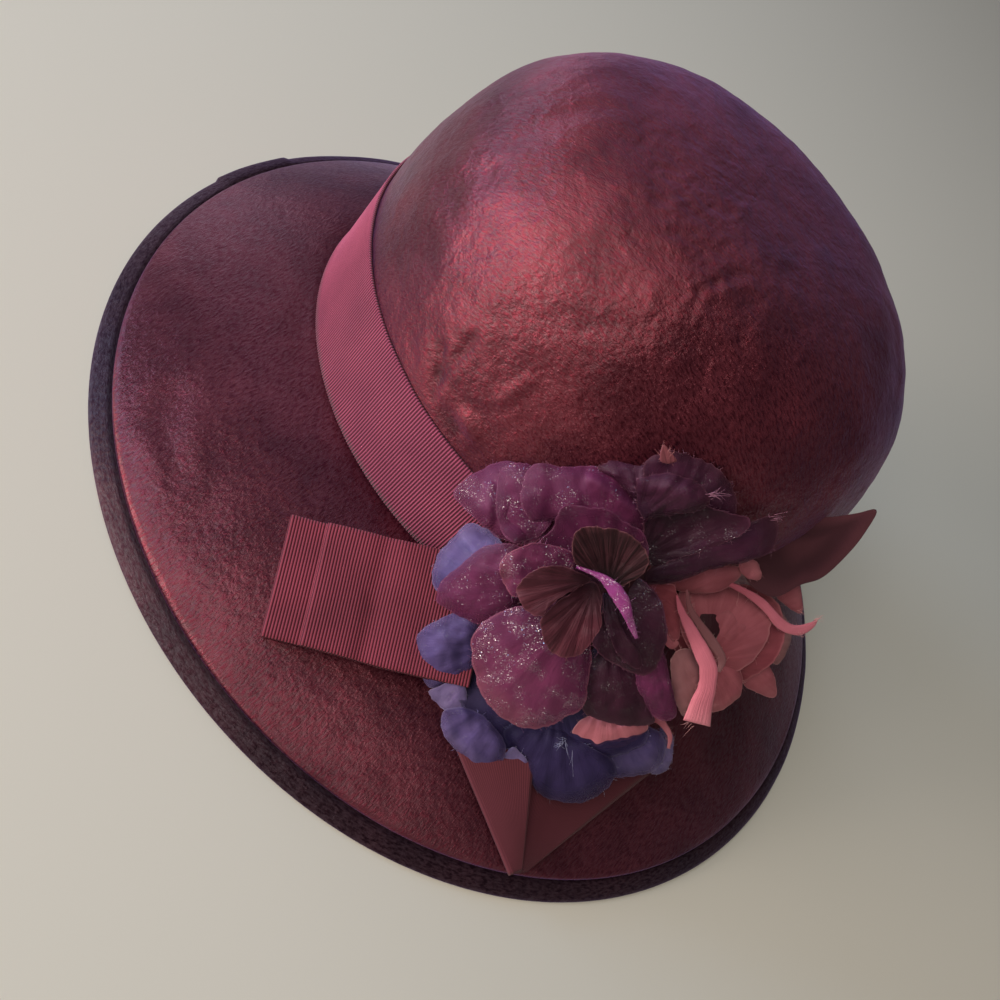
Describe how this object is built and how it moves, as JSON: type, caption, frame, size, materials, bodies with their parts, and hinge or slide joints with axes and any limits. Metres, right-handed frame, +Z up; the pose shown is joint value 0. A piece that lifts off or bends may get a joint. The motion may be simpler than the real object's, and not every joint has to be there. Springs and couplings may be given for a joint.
{
  "type": "church hat",
  "caption": "Domed satin dress hat with a turned-down brim, a wide grosgrain band, a flat folded bow and a spray of fabric flowers on one side.",
  "frame": {"origin": "middle of the brim's oval, on the plane that the brim's edge rests on", "axes": "+Z up through the crown; X along the long way of the oval, which is the head's front to back; the bow and flowers are on the -Y side, towards +X"},
  "size_m": [0.3112, 0.2956, 0.1462],
  "materials": {
    "crown_satin": "burgundy satin over a soft shell, with fine crinkles",
    "brim_satin": "burgundy satin, smooth with a few soft dents",
    "edge_satin": "dark plum satin with a raised seam",
    "grosgrain": "ribbed grosgrain ribbon, ribs across its width",
    "grosgrain_dark": "dark ribbed ribbon, frayed at its point",
    "stem_wrap": "dark cloth wound round the stems",
    "heart_organza": "dull maroon organza with fine pleats",
    "glitter_organza": "plum organza with glitter",
    "plum_organza": "plum organza, thin and softly wrinkled",
    "salmon_organza": "salmon organza",
    "dusk_organza": "dark purple organza with fraying edges",
    "pink_organza": "dusty pink organza with pale rolled edges",
    "blue_organza": "indigo organza with lavender outsides"
  },
  "bodies": {
    "root": {"crown": "crown_satin", "brim": "brim_satin", "brim_edge": "edge_satin", "hat_band": "grosgrain", "bow_loop_long": "grosgrain", "bow_loop_short": "grosgrain", "bow_loop_point": "grosgrain", "ribbon_tail": "grosgrain_dark", "plum_stem": "stem_wrap", "pink_stem": "stem_wrap", "blue_stem": "stem_wrap", "heart_curl": "glitter_organza", "heart_lower": "heart_organza", "heart_left": "heart_organza", "heart_right": "heart_organza", "heart_glitter": "glitter_organza", "heart_inner": "heart_organza", "heart_upper": "heart_organza", "plum_front": "glitter_organza", "plum_right": "plum_organza", "plum_lower": "plum_organza", "plum_left": "plum_organza", "plum_upper": "plum_organza", "plum_upper_left": "plum_organza", "salmon_lower": "salmon_organza", "salmon_curl": "salmon_organza", "dusk_right": "dusk_organza", "dusk_middle": "dusk_organza", "dusk_ridge": "dusk_organza", "dusk_upper": "dusk_organza", "dusk_left": "dusk_organza", "coral_tip": "salmon_organza", "pink_curl": "pink_organza", "pink_front": "pink_organza", "pink_strip": "pink_organza", "pink_upper": "pink_organza", "pink_middle": "pink_organza", "pink_point": "pink_organza", "pink_lower": "pink_organza", "pink_top": "pink_organza", "pink_grey": "pink_organza", "pink_far": "pink_organza", "blue_fold": "blue_organza", "blue_lower_left": "blue_organza", "blue_left": "blue_organza", "blue_upper": "blue_organza", "blue_right": "blue_organza", "blue_end": "blue_organza", "blue_bottom": "blue_organza"}
  },
  "joints": []
}
